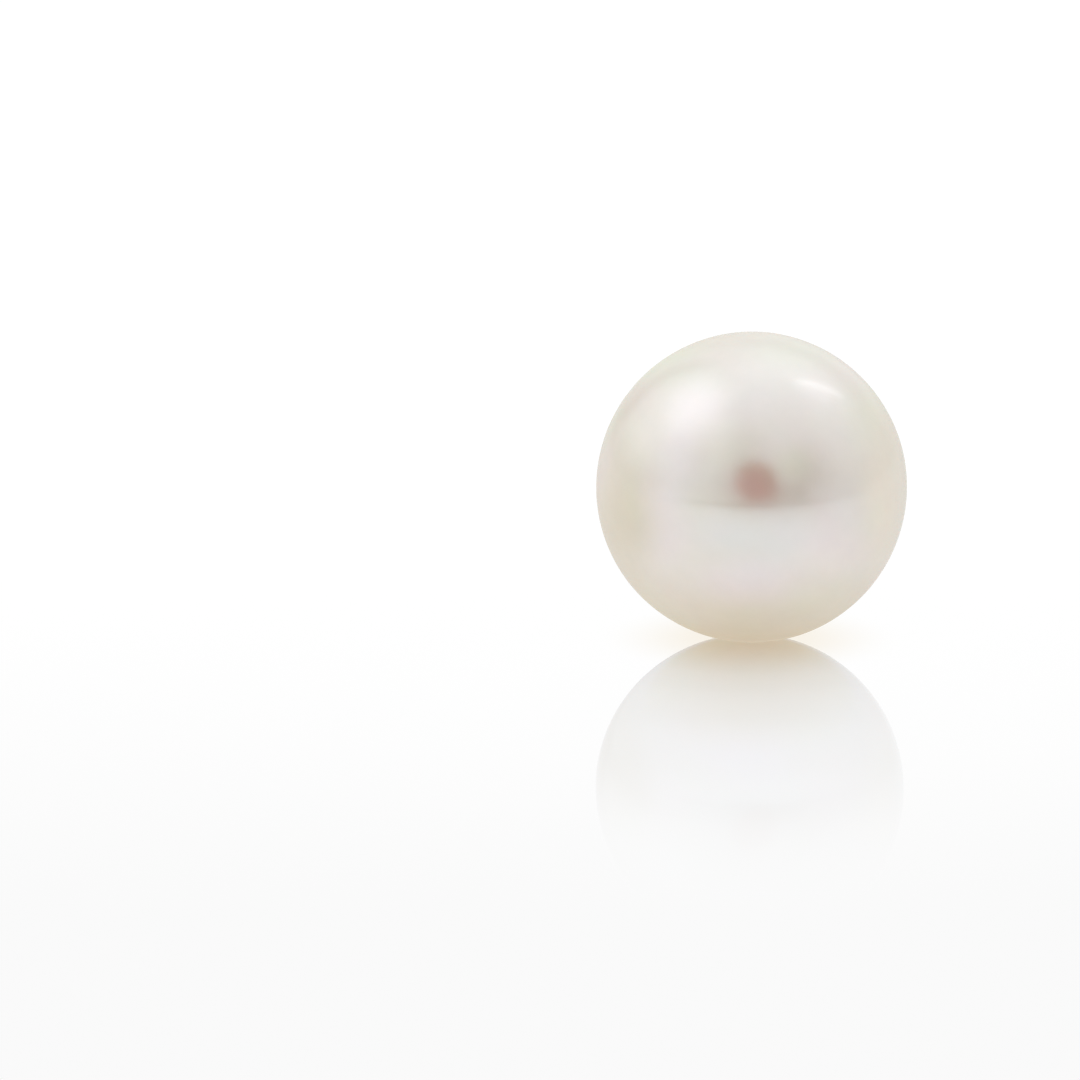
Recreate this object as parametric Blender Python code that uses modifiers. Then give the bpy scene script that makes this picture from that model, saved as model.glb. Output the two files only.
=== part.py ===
"""Pearl stud earring, lying on a table as it comes to rest by itself.

A near-round pearl is half-drilled from the back. One soldered metal solid
fills the drilling with its peg, hugs the pearl's back with a shallow cup and
carries the straight ear post. Both solids are turned about the post's axis.

The stud touches the table at two points: the bottom of the pearl and the
rounded tip of the post. The post therefore slopes down and away behind the
pearl. +Z is up, the table is z = 0, the pearl's face looks along -Y and the
post points towards +Y. Lengths are in metres.
"""

import math

import bpy

MM = 0.001

# Pearl
PEARL_R = 4.0 * MM  # 8 mm pearl
HOLE_R = 0.45 * MM
HOLE_DEPTH = 4.0 * MM  # half-drilled: the drilling ends at the pearl's centre
HOLE_CONE = 0.25 * MM  # the drill point's cone, part of the depth

# Cup, peg and post
GLUE_GAP = 0.05 * MM  # glue line round the peg and under the cup
PEG_R = 0.4 * MM
PEG_CHAMFER = 0.1 * MM
CUP_R = 2.05 * MM
CUP_WALL = 0.3 * MM
BOSS_R = 1.25 * MM  # raised flat ring on the cup's back, round the post
BOSS_PROUD = 0.1 * MM
BOSS_ROUND = 0.12 * MM
POST_R = 0.4 * MM  # 0.8 mm wire
POST_LENGTH = 10.0 * MM  # from the boss's flat face to the tip
POST_FILLET = 0.18 * MM
GROOVE_FROM_TIP = 1.7 * MM  # middle of the grip groove
GROOVE_HALF = 0.35 * MM
GROOVE_DEEP = 0.06 * MM

# Facets
PEARL_SEGMENTS = 64
PEARL_RINGS = 32
METAL_SEGMENTS = 40

# Distances behind the pearl's centre, along the post
CUP_INNER_R = PEARL_R + GLUE_GAP
CUP_OUTER_R = CUP_INNER_R + CUP_WALL
BOSS_FACE = CUP_OUTER_R + BOSS_PROUD
TIP_END = BOSS_FACE + POST_LENGTH
TIP_CENTRE = TIP_END - POST_R

# The slope at which the pearl and the round tip both touch the table
REST_SLOPE = math.asin((PEARL_R - POST_R) / TIP_CENTRE)

# The pearl stands forward of the origin, which is the middle of the footprint
REACH_BACK = TIP_CENTRE * math.cos(REST_SLOPE) + POST_R
PEARL_Y = (PEARL_R - REACH_BACK) / 2.0

MATERIALS = {
    #             base colour               metallic  roughness
    "nacre": ((0.86, 0.81, 0.76, 1.0), 0.0, 0.22),
    "yellow_gold": ((0.80, 0.58, 0.27, 1.0), 1.0, 0.24),
}


def clear_scene():
    for obj in list(bpy.data.objects):
        bpy.data.objects.remove(obj, do_unlink=True)


def material(name):
    colour, metallic, roughness = MATERIALS[name]
    made = bpy.data.materials.new(name)
    made.use_nodes = True
    shader = made.node_tree.nodes["Principled BSDF"]
    shader.inputs["Base Color"].default_value = colour
    shader.inputs["Metallic"].default_value = metallic
    shader.inputs["Roughness"].default_value = roughness
    made.diffuse_color = colour
    return made


def arc(centre, radius, start_deg, end_deg, steps):
    """Points (r, z) on an arc. 0 degrees is straight out from the axis, 90 is up."""
    points = []
    for i in range(steps + 1):
        a = math.radians(start_deg + (end_deg - start_deg) * i / steps)
        points.append(
            (centre[0] + radius * math.cos(a), centre[1] + radius * math.sin(a))
        )
    return points


def angle_at(radius, r):
    """Degrees below the horizontal at which a ball of this radius is r from the axis."""
    return -math.degrees(math.acos(r / radius))


def pearl_profile():
    """From the front pole down the outside to the drilling, then up inside it."""
    mouth = angle_at(PEARL_R, HOLE_R)
    outside = arc((0.0, 0.0), PEARL_R, 90.0, mouth, PEARL_RINGS)
    outside[0] = (0.0, PEARL_R)
    bottom = -PEARL_R + HOLE_DEPTH
    return outside + [(HOLE_R, bottom - HOLE_CONE), (0.0, bottom)]


def groove(z_middle, steps=8):
    """A smooth dip in the post, from its upper edge to its lower edge."""
    points = []
    for i in range(steps + 1):
        along = 1.0 - 2.0 * i / steps
        deep = GROOVE_DEEP * 0.5 * (1.0 + math.cos(math.pi * along))
        points.append((POST_R - deep, z_middle + along * GROOVE_HALF))
    return points


def post_profile():
    """From the peg's end inside the pearl, over the cup, to the post's tip."""
    peg_end = -PEARL_R + HOLE_DEPTH - HOLE_CONE - GLUE_GAP
    profile = [(0.0, peg_end), (PEG_R - PEG_CHAMFER, peg_end)]
    profile.append((PEG_R, peg_end - PEG_CHAMFER))

    # the cup's inside follows the pearl out to a round rim
    rim_r = CUP_WALL / 2.0
    rim_ball = CUP_INNER_R + rim_r
    rim_angle = angle_at(rim_ball, CUP_R - rim_r)
    profile += arc((0.0, 0.0), CUP_INNER_R, angle_at(CUP_INNER_R, PEG_R), rim_angle, 7)
    rim = (
        rim_ball * math.cos(math.radians(rim_angle)),
        rim_ball * math.sin(math.radians(rim_angle)),
    )
    profile += arc(rim, rim_r, rim_angle + 180.0, rim_angle, 6)[1:-1]

    # the back runs in to the boss, whose face is flat up to the post's fillet
    profile += arc(
        (0.0, 0.0), CUP_OUTER_R, rim_angle, angle_at(CUP_OUTER_R, BOSS_R), 4
    )
    profile += arc(
        (BOSS_R - BOSS_ROUND, -BOSS_FACE + BOSS_ROUND), BOSS_ROUND, 0.0, -90.0, 4
    )
    profile += arc(
        (POST_R + POST_FILLET, -BOSS_FACE - POST_FILLET), POST_FILLET, 90.0, 180.0, 4
    )

    # the post, with its grip groove and its round tip
    profile += groove(-TIP_END + GROOVE_FROM_TIP)
    profile += arc((0.0, -TIP_CENTRE), POST_R, 0.0, -90.0, 8)
    profile[-1] = (0.0, -TIP_END)
    return profile


def turned(name, profile, segments, made_of, collection):
    """A profile at +X, from top to bottom, turned about Z."""
    mesh = bpy.data.meshes.new(name)
    points = [(r, 0.0, z) for r, z in profile]
    mesh.from_pydata(points, [(i, i + 1) for i in range(len(points) - 1)], [])
    obj = bpy.data.objects.new(name, mesh)
    collection.objects.link(obj)
    mesh.materials.append(made_of)
    screw = obj.modifiers.new("turn", "SCREW")
    screw.axis = "Z"
    screw.angle = math.tau
    screw.steps = segments
    screw.render_steps = segments
    screw.use_merge_vertices = True
    screw.merge_threshold = 1e-6
    screw.use_smooth_shade = False

    # the turned mesh is kept, so that its edges can be told from its curves
    graph = bpy.context.evaluated_depsgraph_get()
    solid = bpy.data.meshes.new_from_object(obj.evaluated_get(graph))
    obj.modifiers.clear()
    obj.data = solid
    bpy.data.meshes.remove(mesh)
    solid.name = name
    solid.shade_smooth()
    solid.set_sharp_from_angle(angle=math.radians(35.0))
    return obj


def main():
    clear_scene()
    earring = bpy.data.collections.new("pearl_stud_earring")
    bpy.context.scene.collection.children.link(earring)

    # the rest pose: the turning axis leans so that the post slopes down to +Y
    rest = bpy.data.objects.new("rest_pose", None)
    rest.empty_display_size = PEARL_R
    rest.location = (0.0, PEARL_Y, PEARL_R)
    rest.rotation_euler = (math.radians(90.0) - REST_SLOPE, 0.0, 0.0)
    earring.objects.link(rest)

    pearl = turned(
        "pearl", pearl_profile(), PEARL_SEGMENTS, material("nacre"), earring
    )
    post = turned(
        "ear_post", post_profile(), METAL_SEGMENTS, material("yellow_gold"), earring
    )
    for piece in (pearl, post):
        piece.parent = rest


main()
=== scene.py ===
"""Looks of a pearl stud earring that lies on a glossy white table.

The stud rests on the bottom of its pearl and on the tip of its post. The
pearl faces the camera and hides its cup and post. Lengths are in metres.
"""

import math

import bmesh
import bpy
from mathutils import Matrix, Vector, noise


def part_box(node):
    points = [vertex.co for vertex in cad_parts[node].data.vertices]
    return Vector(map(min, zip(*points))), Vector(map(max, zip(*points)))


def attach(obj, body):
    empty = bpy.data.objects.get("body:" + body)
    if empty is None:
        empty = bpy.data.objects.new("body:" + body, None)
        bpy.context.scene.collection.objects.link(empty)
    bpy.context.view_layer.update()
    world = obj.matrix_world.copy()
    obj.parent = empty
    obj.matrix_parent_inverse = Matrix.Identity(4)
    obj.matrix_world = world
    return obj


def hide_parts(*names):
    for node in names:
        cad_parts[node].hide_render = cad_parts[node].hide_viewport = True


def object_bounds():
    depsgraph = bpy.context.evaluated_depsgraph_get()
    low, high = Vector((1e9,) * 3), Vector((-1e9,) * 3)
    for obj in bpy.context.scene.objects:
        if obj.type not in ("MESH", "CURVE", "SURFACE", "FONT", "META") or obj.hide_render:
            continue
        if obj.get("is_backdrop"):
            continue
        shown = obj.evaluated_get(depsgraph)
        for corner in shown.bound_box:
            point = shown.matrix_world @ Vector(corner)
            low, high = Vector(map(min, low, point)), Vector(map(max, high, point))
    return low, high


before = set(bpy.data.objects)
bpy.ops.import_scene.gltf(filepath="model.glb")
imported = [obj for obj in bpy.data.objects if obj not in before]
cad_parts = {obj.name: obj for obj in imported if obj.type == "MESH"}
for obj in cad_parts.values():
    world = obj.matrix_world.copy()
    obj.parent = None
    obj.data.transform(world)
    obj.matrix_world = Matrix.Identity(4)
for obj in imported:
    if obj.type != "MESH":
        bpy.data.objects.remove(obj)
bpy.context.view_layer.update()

MM = 0.001

# ---------------------------------------------------------------- dimensions
PEARL_R = 4.0 * MM
HOLE_R = 0.45 * MM
HOLE_DEPTH = 4.0 * MM
HOLE_CONE = 0.25 * MM
GLUE_GAP = 0.05 * MM
PEG_R = 0.4 * MM
PEG_CHAMFER = 0.1 * MM
CUP_R = 2.05 * MM
CUP_WALL = 0.3 * MM
BOSS_R = 1.25 * MM
BOSS_PROUD = 0.1 * MM
BOSS_ROUND = 0.12 * MM
POST_R = 0.4 * MM
POST_LENGTH = 10.0 * MM
POST_FILLET = 0.18 * MM
GROOVE_FROM_TIP = 1.7 * MM
GROOVE_HALF = 0.35 * MM
GROOVE_DEEP = 0.06 * MM

CUP_INNER_R = PEARL_R + GLUE_GAP
CUP_OUTER_R = CUP_INNER_R + CUP_WALL
BOSS_FACE = CUP_OUTER_R + BOSS_PROUD
TIP_END = BOSS_FACE + POST_LENGTH
TIP_CENTRE = TIP_END - POST_R
REST_SLOPE = math.asin((PEARL_R - POST_R) / TIP_CENTRE)

# the camera: how far it looks down, and where the pearl is in a 1080 px picture
ELEVATION = math.radians(13.0)
CAMERA_DISTANCE = 0.200
PX_PER_MM = 311.0 / 8.0
PEARL_PX = (751.5, 487.1)

# the pearl's centre comes from the frame, the slope from the sizes above
low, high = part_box("pearl")
CENTRE = Vector(((low[0] + high[0]) / 2, 0.0, PEARL_R))
CENTRE.y = (PEARL_R - (TIP_CENTRE * math.cos(REST_SLOPE) + POST_R)) / 2.0
assert abs(CENTRE.y - (low[1] + high[1]) / 2) < 0.03 * MM, "the frame has moved"

# local +Z runs from the post's tip through the pearl's centre to its face
LEAN = Matrix.Translation(CENTRE) @ Matrix.Rotation(
    math.radians(90.0) - REST_SLOPE, 4, "X"
)


# ------------------------------------------------------------------- shaders
class Nodes:
    """A small writer of node trees."""

    def __init__(self, tree):
        self.tree = tree

    def add(self, kind, inputs=None, **settings):
        node = self.tree.nodes.new(kind)
        for key, value in settings.items():
            setattr(node, key, value)
        for key, value in (inputs or {}).items():
            self.feed(node.inputs[key], value)
        return node

    def feed(self, socket, value):
        if isinstance(value, bpy.types.NodeSocket):
            self.tree.links.new(value, socket)
        else:
            socket.default_value = value

    def math(self, operation, a, b=0.0, c=0.0, clamp=False):
        node = self.add("ShaderNodeMath", operation=operation, use_clamp=clamp)
        for socket, value in zip(node.inputs, (a, b, c)):
            self.feed(socket, value)
        return node.outputs[0]

    def ramp(self, value, low, high, to_low=0.0, to_high=1.0, smooth=True):
        node = self.add(
            "ShaderNodeMapRange",
            {"Value": value, "From Min": low, "From Max": high},
            interpolation_type="SMOOTHSTEP" if smooth else "LINEAR",
            clamp=True,
        )
        self.feed(node.inputs["To Min"], to_low)
        self.feed(node.inputs["To Max"], to_high)
        return node.outputs["Result"]

    def mix(self, factor, a, b, blend="MIX"):
        node = self.add("ShaderNodeMix", data_type="RGBA", blend_type=blend)
        self.feed(node.inputs["Factor"], factor)
        self.feed(node.inputs["A"], a)
        self.feed(node.inputs["B"], b)
        return node.outputs["Result"]

    def noise(self, where, scale, detail=2.0, rough=0.5, distortion=0.0):
        node = self.add(
            "ShaderNodeTexNoise",
            {
                "Vector": where,
                "Scale": scale,
                "Detail": detail,
                "Roughness": rough,
                "Distortion": distortion,
            },
        )
        return node.outputs["Fac"]

    def scaled(self, where, x, y, z):
        return self.add(
            "ShaderNodeMapping",
            {"Vector": where, "Scale": (x, y, z)},
            vector_type="POINT",
        ).outputs["Vector"]

    def lean(self):
        """Where a point is on the turned pieces: the origin is the pearl's centre, +Z its face."""
        place = self.add("ShaderNodeTexCoord").outputs["Object"]
        return self.add(
            "ShaderNodeMapping",
            {
                "Vector": place,
                "Location": tuple(CENTRE),
                "Rotation": tuple(LEAN.to_euler()),
            },
            vector_type="TEXTURE",
        ).outputs["Vector"]

    def parts(self, vector):
        node = self.add("ShaderNodeSeparateXYZ", {"Vector": vector})
        return node.outputs["X"], node.outputs["Y"], node.outputs["Z"]

    def bump(self, height, distance, strength=1.0, normal=None):
        node = self.add(
            "ShaderNodeBump",
            {"Height": height, "Distance": distance, "Strength": strength},
        )
        if normal is not None:
            self.feed(node.inputs["Normal"], normal)
        return node.outputs["Normal"]


def new_material(name):
    made = bpy.data.materials.new(name)
    made.use_nodes = True
    tree = made.node_tree
    tree.nodes.clear()
    nodes = Nodes(tree)
    out = nodes.add("ShaderNodeOutputMaterial")
    return made, nodes, out


# Soft patches of tint, charted on the pearl's face as it lies: partly the nacre's own
# tints, partly painted shade, painted highlights and a painted reflection. The
# place and size are in pearl radii, across to the right and up along the face,
# and the tint is what the patch adds to the body's colour.
# name              across    up  half width  half height   red  green   blue
PATCHES = (
    ("tan side", -0.80, -0.19, 0.32, 0.61, -0.11, -0.15, -0.25),
    ("tan spot", -0.72, -0.27, 0.17, 0.19, -0.03, -0.04, -0.03),
    ("green crown", -0.55, 0.77, 0.48, 0.32, 0.03, 0.10, 0.05),
    ("cream side", 0.83, -0.10, 0.25, 0.77, 0.08, 0.035, -0.05),
    ("rose chin", 0.15, -0.35, 0.47, 0.28, -0.01, 0.03, 0.10),
    ("rose cheek", -0.48, 0.19, 0.18, 0.48, 0.06, 0.05, 0.11),
    # painted shade: the foot darker and tan by the contact with the table
    ("painted shade foot", 0.00, -0.96, 0.77, 0.35, -0.09, -0.14, -0.16),
    ("green middle", -0.16, 0.23, 0.26, 0.26, 0.01, 0.05, 0.01),
    ("rose brow", 0.00, 0.58, 0.45, 0.29, 0.02, 0.04, 0.08),
    # painted highlight: rose in the key window's highlight
    ("painted rose highlight", -0.37, 0.51, 0.27, 0.27, 0.04, -0.01, 0.06),
    ("rose right", 0.54, -0.18, 0.24, 0.36, 0.01, -0.02, 0.03),
    ("green shoulder", 0.72, 0.47, 0.22, 0.34, 0.00, 0.04, -0.02),
    ("rose foot", -0.05, -0.61, 0.52, 0.22, 0.06, 0.01, 0.13),
    ("rose jaw", -0.55, -0.29, 0.22, 0.34, 0.04, -0.01, 0.06),
    ("green brow", 0.26, 0.86, 0.53, 0.20, -0.04, 0.02, -0.02),
    ("green temple", -0.89, 0.42, 0.26, 0.35, -0.01, 0.03, -0.03),
    # painted reflection: the rose of the dark camera's reflection in the middle
    ("painted camera reflection", -0.01, -0.02, 0.24, 0.22, 0.01, -0.06, -0.02),
    ("green eye", 0.23, 0.14, 0.23, 0.19, 0.03, 0.07, 0.00),
    ("rose temple", -0.62, -0.07, 0.17, 0.26, 0.05, 0.02, 0.07),
    # painted highlight: rose in the strip light's highlight
    ("painted window highlight", 0.38, 0.58, 0.28, 0.20, 0.00, -0.03, 0.01),
    ("rose lap", 0.42, -0.43, 0.40, 0.30, 0.05, 0.01, 0.02),
    ("pale belly", -0.23, -0.29, 0.32, 0.21, -0.02, 0.02, 0.07),
)
BODY = (0.858, 0.730, 0.583)


def nacre():
    """Cream nacre: patches and clouds of rose, tan and pale green under a soft lustre, with painted shade, painted
    highlights and a painted reflection charted on its face.
    """
    made, n, out = new_material("nacre")
    where = n.lean()

    # the charted patches of tint, painted shade, painted highlights and painted reflection, which fade out round the
    # back
    place = n.add("ShaderNodeTexCoord").outputs["Object"]
    face = n.add(
        "ShaderNodeMapping",
        {
            "Vector": place,
            "Location": tuple(CENTRE),
            "Rotation": (math.radians(90.0) - ELEVATION, 0.0, 0.0),
            "Scale": (PEARL_R, PEARL_R, PEARL_R),
        },
        vector_type="TEXTURE",
    ).outputs["Vector"]
    across, up, depth = n.parts(face)
    near = n.ramp(depth, -0.6, 0.0)
    colour = BODY
    for name, x, y, half_width, half_height, *tint in PATCHES:
        u = n.math("MULTIPLY_ADD", across, 1.0 / half_width, -x / half_width)
        v = n.math("MULTIPLY_ADD", up, 1.0 / half_height, -y / half_height)
        away = n.math("SQRT", n.math("MULTIPLY_ADD", u, u, n.math("MULTIPLY", v, v)))
        weight = n.math("MULTIPLY", n.ramp(away, 1.0, 0.0), near)
        colour = n.add(
            "ShaderNodeVectorMath", {0: weight, 1: tuple(tint), 2: colour}, operation="MULTIPLY_ADD"
        ).outputs["Vector"]

    # broad clouds of rose and green, 2 to 4 mm across, and finer mottling inside them
    broad = n.noise(where, 230.0, 2.0, 0.45, 0.4)
    second = n.noise(n.scaled(where, 1.0, 1.0, 1.3), 330.0, 2.0, 0.5, 0.6)
    fine = n.noise(where, 1500.0, 3.0, 0.55)
    rose = n.ramp(broad, 0.38, 0.62, -0.5, 0.5)
    green = n.ramp(second, 0.38, 0.62, -0.5, 0.5)
    colour = n.add(
        "ShaderNodeVectorMath", {0: rose, 1: (0.012, -0.018, 0.022), 2: colour}, operation="MULTIPLY_ADD"
    ).outputs["Vector"]
    colour = n.add(
        "ShaderNodeVectorMath", {0: green, 1: (-0.022, 0.014, -0.004), 2: colour}, operation="MULTIPLY_ADD"
    ).outputs["Vector"]
    shade = n.ramp(fine, 0.3, 0.7, 0.980, 1.020, smooth=False)
    colour = n.add("ShaderNodeVectorMath", {0: colour, "Scale": shade}, operation="SCALE").outputs["Vector"]

    # the lustre is never quite even: slow swells, and the finest nacre terraces
    swell = n.noise(where, 420.0, 2.0, 0.5)
    terraces = n.noise(n.scaled(where, 1.0, 1.0, 2.2), 3200.0, 2.0, 0.5, 1.2)
    normal = n.bump(swell, 0.018 * MM)
    normal = n.bump(terraces, 0.0012 * MM, 1.0, normal)
    roughness = n.ramp(n.noise(where, 700.0, 3.0, 0.6), 0.3, 0.7, 0.175, 0.205, smooth=False)

    shader = n.add(
        "ShaderNodeBsdfPrincipled",
        {
            "Base Color": colour,
            "Roughness": roughness,
            "IOR": 4.7,
            "Specular Tint": (0.86, 0.94, 1.0, 1.0),
            "Normal": normal,
            "Subsurface Weight": 0.25,
            "Subsurface Radius": (1.0, 0.75, 0.55),
            "Subsurface Scale": 0.5 * MM,
        },
    )
    n.feed(out.inputs["Surface"], shader.outputs[0])
    return made


def gold():
    """Yellow gold: drawn lines along the wire, turned lines on the cup."""
    made, n, out = new_material("yellow_gold")
    where = n.lean()
    x, y, z = n.parts(where)
    radius = n.math("SQRT", n.math("ADD", n.math("MULTIPLY", x, x), n.math("MULTIPLY", y, y)))
    on_cup = n.ramp(radius, 0.62 * MM, 0.75 * MM)

    patches = n.noise(where, 900.0, 3.0, 0.55)
    warm = (0.800, 0.545, 0.215, 1.0)
    pale = (0.845, 0.610, 0.285, 1.0)
    colour = n.mix(n.ramp(patches, 0.35, 0.68), warm, pale)
    # the solder joint at the post's foot is a little paler; the gap by the pearl is patchily darker, grime and
    # painted shade
    foot = n.ramp(z, -BOSS_FACE - 0.5 * MM, -BOSS_FACE + 0.02 * MM)
    joint = n.math("MULTIPLY", foot, n.ramp(radius, 0.85 * MM, 0.5 * MM))
    colour = n.mix(n.math("MULTIPLY", joint, 0.6), colour, (0.880, 0.730, 0.480, 1.0))
    # painted shade with grime: darker where the cup's rim meets the pearl
    grime_and_painted_shade = n.math("MULTIPLY", n.ramp(z, -3.72 * MM, -3.50 * MM), n.ramp(patches, 0.35, 0.6))
    colour = n.mix(n.math("MULTIPLY", grime_and_painted_shade, 0.5), colour, (0.420, 0.270, 0.120, 1.0))

    drawn = n.noise(n.scaled(where, 1.0, 1.0, 0.03), 16000.0, 3.0, 0.6)
    angle = n.math("ARCTAN2", y, x)
    ring = n.add("ShaderNodeCombineXYZ", {"X": n.math("MULTIPLY", radius, 9000.0), "Y": n.math("MULTIPLY", angle, 0.35), "Z": n.math("MULTIPLY", z, 9000.0)}).outputs[0]
    turned = n.noise(ring, 1.6, 3.0, 0.6)
    lines = n.mix(on_cup, drawn, turned)
    dings = n.noise(where, 2600.0, 2.0, 0.5)
    normal = n.bump(lines, 0.0016 * MM)
    normal = n.bump(dings, 0.006 * MM, 1.0, normal)
    roughness = n.math("ADD", n.ramp(lines, 0.3, 0.7, 0.10, 0.20, smooth=False), n.ramp(patches, 0.3, 0.7, 0.0, 0.05))

    shader = n.add(
        "ShaderNodeBsdfPrincipled",
        {
            "Base Color": colour,
            "Metallic": 1.0,
            "Roughness": roughness,
            "Normal": normal,
        },
    )
    n.feed(out.inputs["Surface"], shader.outputs[0])
    return made


# -------------------------------------------------------------------- shapes
def arc(centre, radius, start_deg, end_deg, steps):
    """Points (r, z) on an arc. 0 degrees is straight out from the axis, 90 is up."""
    points = []
    for i in range(steps + 1):
        a = math.radians(start_deg + (end_deg - start_deg) * i / steps)
        points.append(
            (centre[0] + radius * math.cos(a), centre[1] + radius * math.sin(a))
        )
    return points


def angle_at(radius, r):
    return -math.degrees(math.acos(r / radius))


def link(obj):
    bpy.context.scene.collection.objects.link(obj)
    return obj


def turned(name, profile, segments):
    """A mesh turned about Z from a profile at +X that runs from top to bottom."""
    bm = bmesh.new()
    rings = []
    for r, z in profile:
        if r < 1e-9:
            rings.append([bm.verts.new((0.0, 0.0, z))])
            continue
        rings.append(
            [
                bm.verts.new(
                    (
                        r * math.cos(math.tau * i / segments),
                        r * math.sin(math.tau * i / segments),
                        z,
                    )
                )
                for i in range(segments)
            ]
        )
    for upper, lower in zip(rings, rings[1:]):
        for i in range(segments):
            j = (i + 1) % segments
            if len(upper) == 1:
                bm.faces.new((upper[0], lower[i], lower[j]))
            elif len(lower) == 1:
                bm.faces.new((upper[i], lower[0], upper[j]))
            else:
                bm.faces.new((upper[i], lower[i], lower[j], upper[j]))
    bm.normal_update()
    mesh = bpy.data.meshes.new(name)
    bm.to_mesh(mesh)
    bm.free()
    return link(bpy.data.objects.new(name, mesh))


def finish_shading(obj, degrees):
    obj.data.shade_smooth()
    obj.data.set_sharp_from_angle(angle=math.radians(degrees))


def pearl_piece():
    """A near-round pearl: an even mesh with no pole, slightly out of true, drilled from the back."""
    bm = bmesh.new()
    bmesh.ops.create_icosphere(bm, subdivisions=7, radius=PEARL_R)
    down = (LEAN.to_3x3().inverted() @ Vector((0.0, 0.0, -1.0))).normalized()
    seed = Vector((11.3, 4.7, 8.1))
    for v in bm.verts:
        d = v.co.normalized()
        swell = noise.noise(d * 1.1 + seed) * 0.014 * MM
        swell += noise.noise(d * 2.7 - seed) * 0.0035 * MM
        # true where it touches the table and where the cup hugs it
        keep = min(1.0, max(0.0, (1.0 - d.dot(down)) / 0.06))
        keep *= min(1.0, max(0.0, (d.z + 0.80) / 0.25))
        v.co = d * (PEARL_R + swell * keep)
    mesh = bpy.data.meshes.new("pearl_body")
    bm.to_mesh(mesh)
    bm.free()
    body = link(bpy.data.objects.new("pearl_body", mesh))

    drill_end = -PEARL_R + HOLE_DEPTH
    drill = turned(
        "drill",
        [
            (0.0, drill_end),
            (HOLE_R, drill_end - HOLE_CONE),
            (HOLE_R, -PEARL_R - 1.0 * MM),
            (0.0, -PEARL_R - 1.0 * MM),
        ],
        96,
    )
    cut = body.modifiers.new("drilling", "BOOLEAN")
    cut.operation = "DIFFERENCE"
    cut.solver = "EXACT"
    cut.object = drill
    graph = bpy.context.evaluated_depsgraph_get()
    solid = bpy.data.meshes.new_from_object(body.evaluated_get(graph))
    body.modifiers.clear()
    body.data = solid
    bpy.data.meshes.remove(mesh)
    bpy.data.objects.remove(drill, do_unlink=True)
    solid.materials.clear()
    solid.materials.append(nacre())
    solid.transform(LEAN)
    finish_shading(body, 40.0)
    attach(body, "root")
    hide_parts("pearl")
    return body


def post_piece():
    """Peg, cup, boss and post, all one soldered and polished piece."""
    peg_end = -PEARL_R + HOLE_DEPTH - HOLE_CONE - GLUE_GAP
    profile = [(0.0, peg_end), (PEG_R - PEG_CHAMFER, peg_end)]
    profile.append((PEG_R, peg_end - PEG_CHAMFER))

    rim_r = CUP_WALL / 2.0
    rim_ball = CUP_INNER_R + rim_r
    rim_angle = angle_at(rim_ball, CUP_R - rim_r)
    profile += arc((0.0, 0.0), CUP_INNER_R, angle_at(CUP_INNER_R, PEG_R), rim_angle, 16)
    rim = (
        rim_ball * math.cos(math.radians(rim_angle)),
        rim_ball * math.sin(math.radians(rim_angle)),
    )
    profile += arc(rim, rim_r, rim_angle + 180.0, rim_angle, 16)[1:-1]
    profile += arc(
        (0.0, 0.0), CUP_OUTER_R, rim_angle, angle_at(CUP_OUTER_R, BOSS_R), 12
    )
    profile += arc(
        (BOSS_R - BOSS_ROUND, -BOSS_FACE + BOSS_ROUND), BOSS_ROUND, 0.0, -90.0, 10
    )
    profile += arc(
        (POST_R + POST_FILLET, -BOSS_FACE - POST_FILLET), POST_FILLET, 90.0, 180.0, 12
    )
    z_groove = -TIP_END + GROOVE_FROM_TIP
    first = profile[-1][1]
    steps = 24
    profile += [
        (POST_R, first + (z_groove + GROOVE_HALF - first) * i / steps)
        for i in range(1, steps)
    ]
    for i in range(25):
        along = 1.0 - 2.0 * i / 24
        deep = GROOVE_DEEP * 0.5 * (1.0 + math.cos(math.pi * along))
        profile.append((POST_R - deep, z_groove + along * GROOVE_HALF))
    profile += arc((0.0, -TIP_CENTRE), POST_R, 0.0, -90.0, 20)[:-1]
    profile.append((0.0, -TIP_END))

    post = turned("post_body", profile, 128)
    post.data.materials.append(gold())
    post.data.transform(LEAN)
    finish_shading(post, 35.0)
    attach(post, "root")
    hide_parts("ear_post")
    return post


# --------------------------------------------------------------------- stage
FLOOR_SIZE = 1.2
COVE_R = 0.62


def glowing(name):
    """A new material for a part of the stage that gives light evenly."""
    made, n, out = new_material(name)
    made.cycles.emission_sampling = "NONE"
    return made, n, out


def disc(name, radius, z=0.0):
    bm = bmesh.new()
    bmesh.ops.create_circle(bm, cap_ends=True, radius=radius, segments=96)
    mesh = bpy.data.meshes.new(name)
    bm.to_mesh(mesh)
    bm.free()
    obj = link(bpy.data.objects.new(name, mesh))
    obj.location.z = z
    obj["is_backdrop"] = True
    return obj


def from_contact(n):
    """Distance on the floor from the point under the pearl, and how far that is to the front and right."""
    where = n.add("ShaderNodeTexCoord").outputs["Object"]
    x, y, z = n.parts(where)
    y = n.math("SUBTRACT", y, CENTRE.y)
    away = n.add("ShaderNodeCombineXYZ", {"X": x, "Y": y, "Z": 0.0}).outputs[0]
    distance = n.add("ShaderNodeVectorMath", {0: away}, operation="LENGTH").outputs["Value"]
    return distance, n.math("MULTIPLY", y, -1.0), x


# The tint of the floor's mirror, and the studio's white that it turns into plain white
COOL = (0.98, 1.03, 1.11, 1.0)
STUDIO_WHITE = (1.02, 0.97, 0.90, 1.0)

# How much of a mirror the floor is, by the distance in millimetres from the contact
MIRROR = ((0.0, 1.00), (3.6, 0.73), (5.9, 0.53), (9.3, 0.40), (13.9, 0.27), (18.4, 0.09), (24.5, 0.0))


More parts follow.
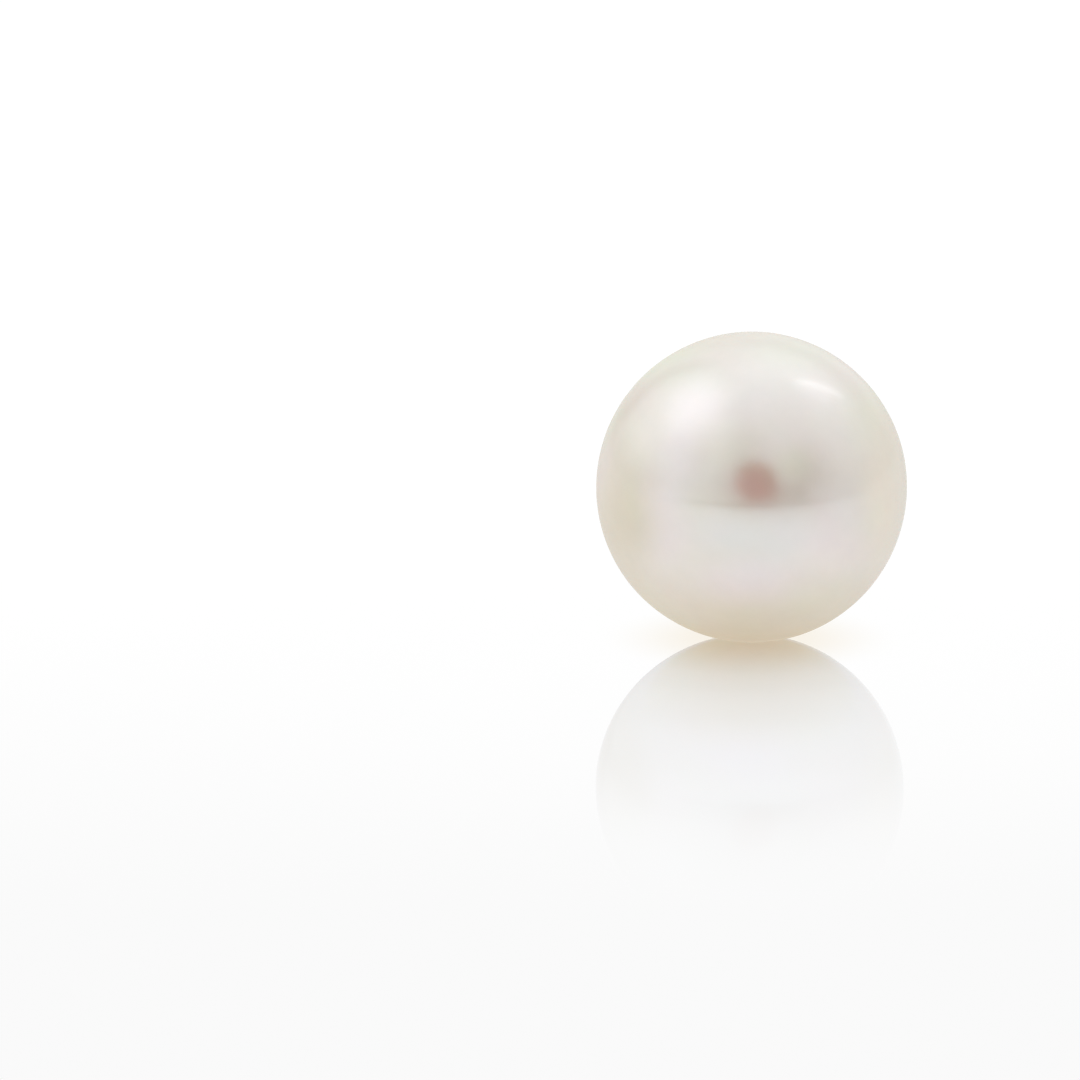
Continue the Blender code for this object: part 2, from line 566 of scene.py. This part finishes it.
def floor():
    """Glossy white acrylic, lit from below: a mirror by the contact, plain white 25 mm away."""
    obj = disc("floor", FLOOR_SIZE)
    made, n, out = glowing("white_acrylic")
    distance, front, right = from_contact(n)
    curve = n.add("ShaderNodeValToRGB", {"Fac": n.math("DIVIDE", distance, MIRROR[-1][0] * MM)})
    stops = curve.color_ramp
    stops.interpolation = "CARDINAL"
    for i, (place, share) in enumerate(MIRROR):
        if i == 0:
            stop = stops.elements[0]
        elif i == len(MIRROR) - 1:
            stop = stops.elements[-1]
        else:
            stop = stops.elements.new(place / MIRROR[-1][0])
        stop.color = (share, share, share, 1.0)
    # like any gloss it is weaker seen from above
    facing = n.add("ShaderNodeLayerWeight", {"Blend": 0.5}).outputs["Facing"]
    gloss = n.math("MULTIPLY", curve.outputs["Color"], n.ramp(facing, 0.30, 0.62))
    # painted light and shade: the glow is a little brighter behind the stud and dimmer towards the camera
    level = n.ramp(front, -20.0 * MM, 26.0 * MM, 1.03, 0.955, smooth=False)
    glow = n.add("ShaderNodeEmission", {"Color": (1.0, 1.0, 1.0, 1.0), "Strength": level})
    # the mirror is cool, and within 4 mm of the contact it is painted darker and warmer: painted contact shade
    tint = n.mix(n.ramp(distance, 4.0 * MM, 1.0 * MM), COOL, (0.92, 0.91, 0.875, 1.0))
    mirror = n.add("ShaderNodeBsdfGlossy", {"Color": tint, "Roughness": 0.0})
    blend = n.add("ShaderNodeMixShader", {0: gloss, 1: glow.outputs[0], 2: mirror.outputs[0]})
    n.feed(out.inputs["Surface"], blend.outputs[0])
    obj.data.materials.append(made)
    for kind in ("diffuse", "glossy", "transmission", "volume_scatter", "shadow"):
        setattr(obj, "visible_" + kind, False)
    return obj


def bounce():
    """The floor as the stud sees it: the camera's side is lit best, and the stud shades it below."""
    obj = disc("bounce", FLOOR_SIZE, -0.01 * MM)
    made, n, out = glowing("bounce")
    distance, front, right = from_contact(n)
    side = n.ramp(n.math("DIVIDE", front, distance), -0.3, 0.8)
    level = n.ramp(side, 0.0, 1.0, 0.87, 0.95, smooth=False)
    # far off towards the camera the table ends in the dark, nearest straight ahead
    ahead = n.math("DIVIDE", front, distance)
    reach = n.math("MULTIPLY", distance, n.ramp(ahead, 0.92, 1.0, 1.0, 1.46))
    far = n.math("MULTIPLY", n.ramp(reach, 60.0 * MM, 210.0 * MM), n.ramp(ahead, 0.35, 0.85))
    # before that it is a little dimmer, and so it is far off to the right
    aside = n.math("DIVIDE", right, distance)
    toward = n.math("MULTIPLY_ADD", aside, 0.35, ahead)
    haze = n.math("MULTIPLY", n.ramp(distance, 14.0 * MM, 32.0 * MM), n.ramp(toward, 0.75, 1.0, 0.0, 0.12))
    dusk = n.math("MULTIPLY", n.ramp(aside, 0.6, 0.95), n.ramp(ahead, -0.3, 0.3, 0.0, 0.28))
    dusk = n.math("MULTIPLY", dusk, n.ramp(distance, 35.0 * MM, 150.0 * MM))
    for shade in (far, haze, dusk):
        level = n.math("MULTIPLY", level, n.math("SUBTRACT", 1.0, shade))
    white = n.add("ShaderNodeCombineColor", {"Red": level, "Green": level, "Blue": level}).outputs[0]
    # the pearl's cream falls on the floor under it, most by the contact
    colour = n.mix(n.ramp(distance, 6.8 * MM, 2.4 * MM), white, (0.80, 0.76, 0.66, 1.0))
    colour = n.mix(n.ramp(distance, 2.6 * MM, 1.3 * MM), colour, (0.80, 0.74, 0.60, 1.0))
    glow = n.add("ShaderNodeEmission", {"Color": colour, "Strength": 1.0})
    n.feed(out.inputs["Surface"], glow.outputs[0])
    obj.data.materials.append(made)
    obj.visible_camera = False
    return obj


def cove():
    """A plain white cove behind everything: only the camera sees it."""
    bm = bmesh.new()
    bmesh.ops.create_uvsphere(bm, u_segments=64, v_segments=32, radius=COVE_R)
    bmesh.ops.delete(
        bm, geom=[v for v in bm.verts if v.co.z < -0.02], context="VERTS"
    )
    mesh = bpy.data.meshes.new("cove")
    bm.to_mesh(mesh)
    bm.free()
    obj = link(bpy.data.objects.new("cove", mesh))
    made, n, out = glowing("cove_white")
    glow = n.add("ShaderNodeEmission", {"Color": (1.0, 1.0, 1.0, 1.0), "Strength": 1.02})
    n.feed(out.inputs["Surface"], glow.outputs[0])
    mesh.materials.append(made)
    mesh.shade_smooth()
    for kind in ("diffuse", "glossy", "transmission", "volume_scatter", "shadow"):
        setattr(obj, "visible_" + kind, False)
    obj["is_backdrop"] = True
    return obj


# Soft light and shade in the room, in degrees seen from the stud. Azimuth 0 is
# the camera's side and 90 the right, elevation 0 the floor's far edge. A corner
# of 2 is an ellipse and 4 nearly a box.
# name            azimuth  elevation  half width  half height  amount  soft  corner
ROOM = (
    ("key window", -87.0, 56.0, 73.0, 31.0, 0.55, 1.0, 2.0),
    ("low glow", -102.0, 28.0, 55.0, 32.0, 0.20, 1.0, 2.0),
    ("fill window", 135.0, 50.0, 82.0, 31.0, 0.24, 1.0, 2.0),
    ("backdrop", 165.0, 11.0, 31.0, 24.0, 0.24, 1.0, 2.0),
    ("camera wall", -9.0, 51.0, 144.0, 67.0, -0.15, 1.0, 2.0),
    ("dark shelf", 41.0, 24.0, 37.0, 28.0, -0.31, 1.0, 2.0),
    ("right wall", 25.0, 11.0, 94.0, 18.0, -0.18, 1.0, 2.0),
    ("table's edge", 27.0, 1.0, 19.0, 14.0, -0.26, 0.6, 4.0),
    ("by the camera", -5.0, 22.0, 36.0, 50.0, -0.30, 1.0, 2.0),
    ("corner", -148.0, 25.0, 14.0, 48.0, -0.20, 1.0, 2.0),
    ("ceiling", 168.0, 71.0, 71.0, 22.0, 0.12, 1.0, 2.0),
    ("left light", -57.0, 1.0, 42.0, 4.0, 0.26, 1.0, 2.0),
)
ROOM_LOW, ROOM_RISE = 0.788, 0.298
CAMERA_SHAPE = (2.9, 16.1, 20.6, 19.9, 0.5, 2.6, 0.13)
CAMERA_COLOUR = (0.16, 0.00, 0.00, 1.0)


def room():
    """Soft light from everywhere, greyer low on the camera's side, with the dark camera in it."""
    world = bpy.data.worlds.new("room")
    bpy.context.scene.world = world
    world.use_nodes = True
    world.cycles.sampling_method = "NONE"
    world.node_tree.nodes.clear()
    n = Nodes(world.node_tree)
    out = n.add("ShaderNodeOutputWorld")
    x, y, z = n.parts(n.add("ShaderNodeTexCoord").outputs["Generated"])
    azimuth = n.math("ARCTAN2", x, n.math("MULTIPLY", y, -1.0))
    elevation = n.math("ARCSINE", z)

    def shape(az, el, half_width, half_height, soft, corner, lean=0.0):
        turn = n.math("SUBTRACT", azimuth, math.radians(az))
        turn = n.math("WRAP", turn, math.pi, -math.pi)
        rise = n.math("SUBTRACT", elevation, math.radians(el))
        if lean:
            turn = n.math("MULTIPLY_ADD", rise, lean, turn)
        turn = n.math("ABSOLUTE", n.math("DIVIDE", turn, math.radians(half_width)))
        rise = n.math("ABSOLUTE", n.math("DIVIDE", rise, math.radians(half_height)))
        away = n.math("ADD", n.math("POWER", turn, corner), n.math("POWER", rise, corner))
        return n.ramp(n.math("POWER", away, 1.0 / corner), 1.0, 1.0 - soft)

    level = n.math("MULTIPLY_ADD", z, ROOM_RISE, ROOM_LOW)
    for name, az, el, half_width, half_height, amount, soft, corner in ROOM:
        there = shape(az, el, half_width, half_height, soft, corner)
        level = n.math("MULTIPLY_ADD", there, amount, level)
    level = n.math("MAXIMUM", level, 0.0)
    white = n.add("ShaderNodeCombineColor", {"Red": level, "Green": level, "Blue": level}).outputs[0]
    colour = n.mix(shape(*CAMERA_SHAPE), white, CAMERA_COLOUR)
    # the floor, the one true mirror here, shows the stud in a plain white studio
    mirrored = n.add("ShaderNodeLightPath").outputs["Is Singular Ray"]
    colour = n.mix(mirrored, colour, STUDIO_WHITE)
    glow = n.add("ShaderNodeBackground", {"Color": colour, "Strength": 1.0})
    n.feed(out.inputs["Surface"], glow.outputs[0])


def aimed(obj, place, target):
    obj.location = place
    obj.rotation_mode = "QUATERNION"
    obj.rotation_quaternion = (Vector(target) - Vector(place)).to_track_quat("-Z", "Y")
    return obj


def softbox(name, direction, distance, width, height, radiance, colour=(1.0, 1.0, 1.0), twist=0.0):
    data = bpy.data.lights.new(name, "AREA")
    data.shape = "ELLIPSE"
    data.size, data.size_y = width, height
    data.energy = radiance * math.pi * (math.pi * width * height / 4.0)
    data.color = colour
    obj = link(bpy.data.objects.new(name, data))
    aimed(obj, CENTRE + Vector(direction).normalized() * distance, CENTRE)
    obj.rotation_quaternion = obj.rotation_quaternion @ Matrix.Rotation(twist, 3, "Z").to_quaternion()
    return obj


def camera():
    data = bpy.data.cameras.new("camera")
    data.sensor_width = 36.0
    data.lens = 36.0 * CAMERA_DISTANCE / (1080.0 / PX_PER_MM * MM)
    data.clip_start, data.clip_end = 0.01, 10.0
    obj = link(bpy.data.objects.new("camera", data))
    look = Vector((0.0, math.cos(ELEVATION), -math.sin(ELEVATION)))
    up = Vector((0.0, math.sin(ELEVATION), math.cos(ELEVATION)))
    right = Vector((1.0, 0.0, 0.0))
    middle = (
        CENTRE
        - right * (PEARL_PX[0] - 540.0) / PX_PER_MM * MM
        - up * (540.0 - PEARL_PX[1]) / PX_PER_MM * MM
    )
    aimed(obj, middle - look * CAMERA_DISTANCE, middle)
    bpy.context.scene.camera = obj
    return obj, look, up, right


pearl = pearl_piece()
post = post_piece()
floor()
bounce()
cove()
room()
camera()
softbox("strip", (0.548, 0.357, 0.756), 0.35, 0.030, 0.180, 0.54, (1.0, 0.98, 0.965))
softbox("strip_glow", (0.528, 0.206, 0.824), 0.35, 0.090, 0.140, 0.12, (1.0, 0.98, 0.965))

scene = bpy.context.scene
scene.view_settings.view_transform = "Standard"
scene.view_settings.look = "None"
scene.cycles.use_denoising = True
scene.cycles.max_bounces = 10
scene.cycles.diffuse_bounces = 6
scene.cycles.glossy_bounces = 6

low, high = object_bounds()
